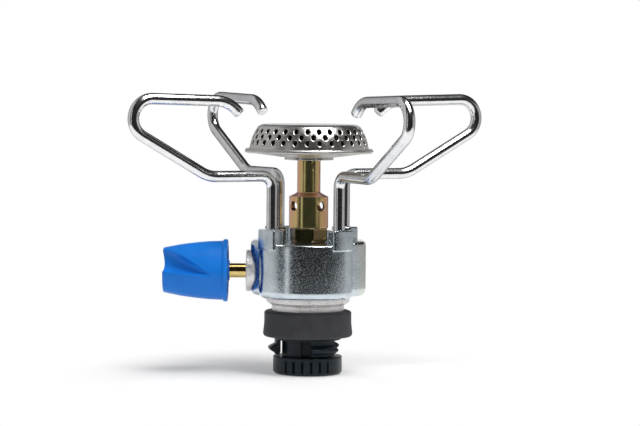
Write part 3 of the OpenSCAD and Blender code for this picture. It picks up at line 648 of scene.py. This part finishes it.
def burner_cap():
    """Dome of sheet steel whose three rows of ports are cut through one sector and repeated."""
    line = np.array(CAP)
    arc = np.concatenate([[0], np.cumsum(np.linalg.norm(np.diff(line, axis=0), axis=1))])

    def at(s):
        return np.interp(s, arc, line[:, 0]), np.interp(s, arc, line[:, 1])

    def normal(s):
        r0, z0 = at(np.maximum(s - 0.15, 0))
        r1, z1 = at(np.minimum(s + 0.15, arc[-1]))
        length = np.hypot(r1 - r0, z1 - z0)
        return (z1 - z0) / length, -(r1 - r0) / length

    dense = np.linspace(0, arc[-1], 4000)
    dr, dz = at(dense)
    holes = []
    for row_r, row_z, tilt, turn in PORT_ROWS:
        a = math.radians(tilt)
        miss = np.abs((dr - row_r) * math.sin(a) - (dz - row_z) * math.cos(a))
        s = dense[int(np.argmin(miss))]
        holes.append((turn * PITCH, s))

    def nearest(th, s):
        """Distance to the nearest port's middle, where 1 is the port's edge."""
        return min(math.hypot((th - ht) * at(hs)[0] / PORT_W, (s - hs) / PORT_H) for ht, hs in holes)

    unit = 20.0
    left, right = -PITCH / 4, 3 * PITCH / 4
    top = holes[0][1] + 1.4
    across, rows = 8, 22
    points, edges = [], []
    ss = [top * k / rows for k in range(rows + 1)]
    for s in ss:
        for k in range(across + 1):
            th = left + (right - left) * k / across
            edge = k in (0, across) or s in (ss[0], ss[-1])
            if edge or nearest(th, s) > 1.36:
                points.append((th * unit, s))
    for ht, hs in holes:
        for grow in sorted(PORT_EDGE, reverse=True):
            ids = []
            for k in range(24):
                a = 2 * math.pi * k / 24
                s = hs + grow * PORT_H * math.sin(a)
                ids.append(len(points))
                points.append(((ht + grow * PORT_W * math.cos(a) / at(s)[0]) * unit, s))
            edges += [(ids[k], ids[(k + 1) % 24]) for k in range(24)]
    out = geometry.delaunay_2d_cdt([Vector(p) for p in points], edges, [], 0, 1e-6)
    flat = np.array([tuple(v) for v in out[0]])
    tris = []
    for tri in out[2]:
        cx, cs = flat[list(tri)].mean(0)
        if nearest(cx / unit, cs) > 0.985:
            tris.append(tuple(tri))
    # The edge of each port is drawn in a little, as punching leaves it.
    grown, depth = list(PORT_EDGE), list(PORT_EDGE.values())
    sink = [np.interp(nearest(x / unit, s), grown, depth) for x, s in flat]
    verts, normals, faces = [], [], []
    for i in range(PORTS):
        base = len(verts)
        for (x, s), deep in zip(flat, sink):
            th = x / unit + i * PITCH + PORT_TURN
            r, z = at(s)
            nr, nz = normal(s)
            r, z = r - deep * nr, z - deep * nz
            verts.append((r * math.cos(th), r * math.sin(th), z))
            normals.append((nr * math.cos(th), nr * math.sin(th), nz))
        faces += [tuple(base + k for k in tri) for tri in tris]
    # Crown above the ports, in rings that share the sector's upper edge.
    crown = [(s, *at(s)) for s in np.linspace(top, arc[-1], 14)]
    crown += [(arc[-1], r, CROWN_Z) for r in (15.0, 13.0, 10.0, 6.0, 2.5)]
    prior = None
    seg = across * PORTS
    for s, r, z in crown:
        ring = []
        for k in range(seg):
            th = left + (right - left) * k / across + PORT_TURN
            nr, nz = normal(s) if r > 15.6 else (0.0, 1.0)
            ring.append(len(verts))
            verts.append((r * math.cos(th), r * math.sin(th), z))
            normals.append((nr * math.cos(th), nr * math.sin(th), nz))
        if prior:
            faces += [(prior[k], prior[(k + 1) % seg], ring[(k + 1) % seg], ring[k]) for k in range(seg)]
        prior = ring
    verts.append((0, 0, CROWN_Z))
    normals.append((0, 0, 1))
    faces += [(prior[k], prior[(k + 1) % seg], len(verts) - 1) for k in range(seg)]
    # Weld the sectors, then give the sheet its thickness and close every free edge.
    verts, normals = np.array(verts), np.array(normals)
    _, first, same = np.unique(np.round(verts, 4), axis=0, return_index=True, return_inverse=True)
    verts, normals = verts[first], normals[first]
    same = same.reshape(-1)
    fixed = []
    for f in faces:
        f = [int(same[k]) for k in f]
        if len(set(f)) == len(f):
            p = verts[f]
            if np.cross(p[1] - p[0], p[2] - p[0]) @ normals[f[0]] < 0:
                f = f[::-1]
            fixed.append(f)
    used = {}
    for f in fixed:
        for a, b in zip(f, f[1:] + f[:1]):
            used[(a, b)] = used.get((a, b), 0) + 1
    count = len(verts)
    inner = verts - normals * CAP_SHEET
    every = list(fixed) + [[k + count for k in f[::-1]] for f in fixed]
    for a, b in used:
        if (b, a) not in used:
            every.append([b, a, a + count, b + count])
    return np.concatenate([verts, inner]), every, len(fixed)


verts, faces, outer = burner_cap()
dome = piece("burner_dome", verts, faces, "burner_steel", "stove", ["burner_cap"], sharp=40)
# The cap's inner faces and port walls take the near-black finish: painted shade inside the burner.
dome.data.materials.append(MATS["dark_gauze"])
for poly in dome.data.polygons:
    if poly.index >= outer:
        poly.material_index = 1

# Gauze behind the ports, painted near-black as shade inside the burner
profile = rounded([(19.2, 79.95, 0), (19.5, 79.95, 0), (16.3, 87.55, 1.0), (0, 87.55, 0), (0, 87.25, 0),
                   (16.0, 87.25, 0.7), (19.2, 79.95, 0)])
piece("port_gauze", *lathe(profile), "dark_gauze", "stove", ["burner_gauze"], sharp=40)


# Rubber ring and connector

profile = rounded([(13.0, 14.0, 0), (14.05, 13.3, 0.3), (15.55, 13.4, 0.5), (16.05, 14.05, 0.5),
                   (16.0, 14.9, 0.8), (15.65, 18.3, 8), (15.65, 21.9, 0.5), (15.2, 22.4, 0.4),
                   (14.05, 22.7, 0.6), (13.0, 22.7, 0), (13.0, 14.0, 0)])
piece("rubber_ring", *lathe(profile), "rubber", "stove", ["sealing_ring"], sharp=45)

FOOT = rounded([(-1.0, 0, 0), (11.65, 0, 0.3), (12.35, 0.7, 0.5), (12.35, 6.35, 0.4), (9.2, 6.35, 0.2),
                (9.2, 17.0, 0), (-1.0, 17.0, 0)], 15)


def fold(x, y, start):
    """Angle from the nearest of three directions 120 degrees apart."""
    third = 2 * math.pi / 3
    return (np.arctan2(y, x) - start + third / 2) % third - third / 2


def foot_field(x, y, z):
    r = np.hypot(x, y)
    body = polygon_field(r, z, FOOT)
    a = fold(x, y, LUG_AT - math.radians(30))
    pitch = math.radians(15)
    near = a - (np.clip(np.round(a / pitch + 2.5), 0, 5) - 2.5) * pitch
    groove = smax(np.abs(r * np.sin(near)) - 0.375 * (r - 11.1), np.abs(z - 2.975) - 2.075, 0.15)
    body = smax(body, -groove, 0.12)
    slot = smax(np.abs(r * np.sin(a)) - 2.0, 7.0 - r * np.cos(a), 0.2)
    slot = smax(slot, np.abs(z - 9.275) - 2.925, 0.2)
    body = smax(body, -slot, 0.2)
    socket = np.minimum(np.maximum(r - 5.5, z - 4.8), np.maximum(r - 5.1, z - 9.0))
    body = smax(body, -socket, 0.3)
    b = fold(x, y, LUG_AT + math.radians(30))
    screw = np.hypot(r * np.cos(b) - 7.6, r * np.sin(b))
    return smax(body, -np.maximum(screw - 1.7, z - 2.6), 0.2)


verts, faces, normals = field_mesh(foot_field, (-12.4, -12.4, -0.1), (12.4, 12.4, 17.1), 0.25)
piece("ribbed_foot", verts, faces, "black_plastic", "stove", ["connector_foot"], normals)

LUG = rounded([(10.5, 6.9, 0), (11.94, 6.9, 0.15), (11.94, 7.3, 0.1), (14.2, 8.8, 0.4), (14.2, 9.6, 0.4),
               (11.94, 10.8, 0.2), (11.94, 12.6, 0), (10.5, 12.6, 0)], 15)


def bayonet_field(x, y, z):
    r = np.hypot(x, y)
    ring = smax(smax(r - 12.0, 12.2 - z, 0.35), z - 14.0, 0.3)
    ring = np.minimum(ring, np.maximum(np.maximum(r - 11.5, 13.5 - z), z - 17.0))
    a = np.abs(fold(x, y, LUG_AT))
    side = r * np.sin(np.clip(a - math.radians(23), -1.4, 1.4))
    lug = smax(polygon_field(r, z, LUG), side, 0.35)
    return smax(smin(ring, lug, 0.25), 9.22 - r, 0.1)


verts, faces, normals = field_mesh(bayonet_field, (-14.3, -14.3, 6.8), (14.3, 14.3, 17.1), 0.26)
piece("bayonet_claw", verts, faces, "black_plastic", "stove", ["bayonet_ring"], normals)


# Pot supports

WIRE_R = 2.0
POT_Z = 100.35
ELBOW_R = 4.4
KNEE_R = 12.0
TURN_R = 6.9
TIP_R = 11.5
TIP_L = 1.6


def wire_path():
    """Centre line of one support as (distance from the stem, height)."""
    rad = math.radians
    run_z, bar_z, reach = POT_Z - 29.15, POT_Z - WIRE_R, 141 / 2 - STEM_R
    tilt, tip = rad(1.5), rad(43)
    along = np.array([math.cos(tilt), math.sin(tilt)])
    above = np.array([-math.sin(tilt), math.cos(tilt)])
    turn_c = np.array([reach - TURN_R, bar_z - TURN_R * math.cos(tilt)])
    knee = np.array([25.0, run_z])
    to_turn = turn_c - knee
    rise = math.atan2(to_turn[1], to_turn[0]) - math.asin(TURN_R / np.linalg.norm(to_turn))
    knee_t = KNEE_R * math.tan(rise / 2)
    bar_out = turn_c + TURN_R * above
    bar_end = bar_out - (bar_out[0] - 22.0) / math.cos(tilt) * along
    tip_c = bar_end - TIP_R * above
    path = [(0, 28.8), (0, 32.9), (0, 33.1), (0, 45.0), (0, 56.0)]

    def bend(c, r, a0, a1, n):
        for k in range(n + 1):
            a = a0 + (a1 - a0) * k / n
            path.append((c[0] + r * math.cos(a), c[1] + r * math.sin(a)))

    bend((ELBOW_R, run_z - ELBOW_R), ELBOW_R, rad(180), rad(90), 14)
    bend((knee[0] - knee_t, run_z + KNEE_R), KNEE_R, rad(-90), rise - rad(90), 12)
    bend(turn_c, TURN_R, rise - rad(90), rad(90) + tilt, 30)
    ang = rad(90) + tilt + tip
    bend(tip_c, TIP_R, rad(90) + tilt, ang, 14)
    path.append((path[-1][0] - TIP_L * math.sin(ang), path[-1][1] + TIP_L * math.cos(ang)))
    return np.array(path)


def wire_mesh(arm, turn):
    """Round wire along the path, with a thinner stem foot and a rounded inner end."""
    path = wire_path()
    tang = np.gradient(path, axis=0)
    tang /= np.linalg.norm(tang, axis=1)[:, None]
    tang[:4] = (0, 1)
    size = np.full(len(path), WIRE_R)
    size[:2] = 1.5
    rings = [(path[0], tang[0], 1.2)]
    rings += [(path[0] + 0.3 * tang[0], tang[0], 1.5)]
    rings += [(p, t, r) for p, t, r in zip(path[1:-1], tang[1:-1], size[1:-1])]
    end, way = path[-1], tang[-1]
    for back, trim in ((0.4, 0.0), (0.2, 0.07), (0.07, 0.2), (0.0, 0.42)):
        rings.append((end - back * way, way, WIRE_R - trim))
    face = STEMS[arm] + PLAN_TURN + math.radians(turn)
    sx, sy = stem_place(arm)
    seg = 36
    verts, faces = [], []
    for p, t, r in rings:
        for k in range(seg):
            a = 2 * math.pi * k / seg
            u = p[0] - t[1] * r * math.cos(a)
            z = p[1] + t[0] * r * math.cos(a)
            w = r * math.sin(a)
            x = sx + u * math.cos(face) - w * math.sin(face)
            y = sy + u * math.sin(face) + w * math.cos(face)
            verts.append((x, y, z))
    for i in range(len(rings) - 1):
        for k in range(seg):
            j = (k + 1) % seg
            faces.append((i * seg + j, i * seg + k, (i + 1) * seg + k, (i + 1) * seg + j))
    for p, ring in ((rings[0][0], 0), (rings[-1][0], len(rings) - 1)):
        verts.append((sx + p[0] * math.cos(face), sy + p[0] * math.sin(face), p[1]))
        mid = len(verts) - 1
        for k in range(seg):
            j = (k + 1) % seg
            pair = (ring * seg + k, ring * seg + j)
            faces.append((*(pair if ring == 0 else pair[::-1]), mid))
    return verts, faces


for arm, turn in (("front_left", -12), ("front_right", -14.8), ("back_left", -10.6), ("back_right", -15.4)):
    verts, faces = wire_mesh(arm, turn)
    piece("wire_" + arm, verts, faces, "bright_wire", "support_" + arm, ["pot_support_" + arm], sharp=50)


# Inner CAD pieces

INNER = {
    "valve_seat": "brass",
    "gas_jet": "brass",
    "jet_filter": "plain_steel",
    "gas_spreader": "plain_steel",
    "connector_screws": "plain_steel",
    "opener_pin": "brass",
    "inlet_seal": "rubber",
    "inlet_gauze": "plain_steel",
    "spindle_seal": "rubber",
    "stem_clip_front_left": "plain_steel",
    "stem_clip_front_right": "plain_steel",
    "stem_clip_back_left": "plain_steel",
    "stem_clip_back_right": "plain_steel",
}
for node, slot in INNER.items():
    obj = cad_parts[node]
    obj.data.materials.clear()
    obj.data.materials.append(MATS[slot])


# Floor, light and camera

def floor_material():
    """Pale floor that keeps the shadow near the object and runs out to plain white."""
    sh = Shader("floor")
    vec = sh.coords()
    tint = sh.ramp(sh.noise(vec, 30, 3), [(0.3, (0.89, 0.89, 0.89)), (0.7, (0.91, 0.91, 0.91))])
    sh.finish(tint, sh.span(sh.noise(vec, 200), 0.85, 0.95), 0.0, 0.1)
    far = sh.add("ShaderNodeVectorMath", operation="LENGTH")
    sh.join(vec, far.inputs[0])
    fade = sh.add("ShaderNodeMapRange", interpolation_type="SMOOTHSTEP")
    fade.inputs["From Min"].default_value = 0.045
    fade.inputs["From Max"].default_value = 0.090
    fade.inputs["To Min"].default_value = 0.28
    sh.join(far.outputs["Value"], fade.inputs["Value"])
    path = sh.add("ShaderNodeLightPath")
    seen = sh.math("MAXIMUM", path.outputs["Is Camera Ray"], path.outputs["Is Glossy Ray"])
    seen = sh.math("MAXIMUM", seen, path.outputs["Is Transmission Ray"])
    glow = sh.add("ShaderNodeEmission")
    mix = sh.add("ShaderNodeMixShader")
    sh.join(sh.math("MULTIPLY", seen, fade.outputs["Result"]), mix.inputs[0])
    sh.join(sh.bsdf.outputs["BSDF"], mix.inputs[1])
    sh.join(glow.outputs["Emission"], mix.inputs[2])
    sh.join(mix.outputs["Shader"], sh.tree.nodes["Material Output"].inputs["Surface"])
    return sh.mat


mesh = bpy.data.meshes.new("floor")
ring = [(0.32 * math.cos(a), 0.32 * math.sin(a)) for a in np.linspace(0, 2 * math.pi, 96, endpoint=False)]
verts = [(x, max(y, -0.17), -0.0002) for x, y in ring]
mesh.from_pydata(verts, [], [list(range(len(verts)))])
mesh.materials.append(floor_material())
floor = bpy.data.objects.new("floor", mesh)
bpy.context.scene.collection.objects.link(floor)


def studio():
    """White backdrop, grey sides and a dark room in front, so bright metal shows dark and white bands."""
    world = bpy.data.worlds.new("studio")
    bpy.context.scene.world = world
    world.use_nodes = True
    tree = world.node_tree
    nodes, link = tree.nodes, tree.links.new
    nodes.clear()

    def node(kind, **props):
        made = nodes.new(kind)
        for key, value in props.items():
            setattr(made, key, value)
        return made

    def step(value, low, high):
        made = node("ShaderNodeMapRange", interpolation_type="SMOOTHSTEP")
        made.inputs["From Min"].default_value = low
        made.inputs["From Max"].default_value = high
        link(value, made.inputs["Value"])
        return made.outputs["Result"]

    def calc(op, a, b):
        made = node("ShaderNodeMath", operation=op)
        for socket, value in zip(made.inputs, (a, b)):
            if isinstance(value, (int, float)):
                socket.default_value = value
            else:
                link(value, socket)
        return made.outputs[0]

    def band(value, low, high, soft):
        return calc("MULTIPLY", step(value, low - soft, low + soft), step(value, high + soft, high - soft))

    tex = node("ShaderNodeTexCoord")
    part = node("ShaderNodeSeparateXYZ")
    link(tex.outputs["Generated"], part.inputs["Vector"])
    x, y, z = part.outputs
    around = calc("MULTIPLY", calc("ARCTAN2", x, calc("MULTIPLY", y, -1.0)), 180 / math.pi)
    left = band(around, -160, -62, 8)
    right = calc("MULTIPLY", band(around, 68, 200, 10), step(z, 0.42, 0.22))
    strip = calc("MULTIPLY", band(around, -44.5, -37.5, 2), band(z, -0.3, 0.5, 0.08))
    behind = calc("SUBTRACT", 1.0, band(around, -168, 168, 4))
    backdrop = calc("MULTIPLY", behind, band(z, -1.2, 0.34, 0.06))
    high = step(z, 0.75, 0.90)
    level = calc("ADD", calc("MULTIPLY", left, 0.50), 0.018)
    level = calc("ADD", level, calc("MULTIPLY", right, 0.40))
    level = calc("ADD", level, calc("MULTIPLY", strip, 1.0))
    level = calc("MULTIPLY", level, calc("SUBTRACT", 1.0, high))
    level = calc("ADD", level, calc("MULTIPLY", high, 0.06))
    level = calc("MAXIMUM", level, backdrop)
    mix = node("ShaderNodeCombineColor")
    for k in range(3):
        link(level, mix.inputs[k])
    path = node("ShaderNodeLightPath")
    seen = node("ShaderNodeMix", data_type="RGBA")
    link(path.outputs["Is Camera Ray"], seen.inputs[0])
    link(mix.outputs[0], seen.inputs[6])
    seen.inputs[7].default_value = (1, 1, 1, 1)
    back = node("ShaderNodeBackground")
    link(seen.outputs[2], back.inputs["Color"])
    out = node("ShaderNodeOutputWorld")
    link(back.outputs["Background"], out.inputs["Surface"])


studio()


def softbox(name, place, size, turn, power, tilt=0):
    """Panel lamp that shines straight down, or forward when it is tilted."""
    data = bpy.data.lights.new(name, "AREA")
    data.shape = "RECTANGLE"
    data.size, data.size_y = size
    data.energy = power
    lamp = bpy.data.objects.new(name, data)
    lamp.location = place
    lamp.rotation_euler = (math.radians(tilt), 0, math.radians(turn))
    bpy.context.scene.collection.objects.link(lamp)
    return lamp


softbox("key", (0.202, -0.223, 0.60), (0.31, 0.50), 38, 5.4)
fill = softbox("fill", (-0.25, -0.80, 0.30), (0.60, 0.40), -17, 1.1, 72)
fill.visible_glossy = False

eye = bpy.data.cameras.new("eye")
eye.sensor_fit = "HORIZONTAL"
eye.sensor_width = 36.0
eye.lens = 2514 / 640 * 36.0
camera = bpy.data.objects.new("eye", eye)
turn = Matrix.Rotation(math.radians(90 - 3.17), 4, "X") @ Matrix.Rotation(math.radians(0.47), 4, "Z")
camera.matrix_world = Matrix.Translation((0.00408, -0.900, 0.1074)) @ turn
bpy.context.scene.collection.objects.link(camera)
bpy.context.scene.camera = camera
bpy.context.scene.view_settings.view_transform = "Standard"
